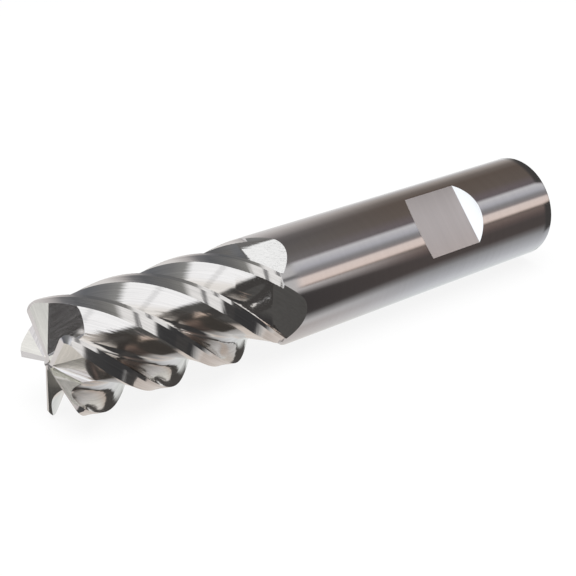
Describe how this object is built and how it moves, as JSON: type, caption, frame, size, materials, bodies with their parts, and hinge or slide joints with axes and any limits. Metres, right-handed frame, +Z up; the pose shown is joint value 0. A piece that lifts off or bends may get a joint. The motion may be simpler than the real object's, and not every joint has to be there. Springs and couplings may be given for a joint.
{
  "type": "end mill",
  "caption": "Five-tooth end mill with rounded tooth corners, steep right-hand helical flutes, gashed end teeth and a cylindrical shank with one side-lock clamping flat.",
  "frame": {"origin": "centre of the flat face at the shank's end", "axes": "+X along the tool's axis, out of the shank's end, so the cutting end points to -X; +Z up as the tool lies"},
  "size_m": [0.1016, 0.019, 0.019],
  "materials": {
    "ground_cutting_metal": "ground and polished flutes",
    "ground_shank_steel": "satin, cylindrically ground"
  },
  "bodies": {
    "root": {"cutting_head": "ground_cutting_metal", "shank": "ground_shank_steel"}
  },
  "joints": []
}
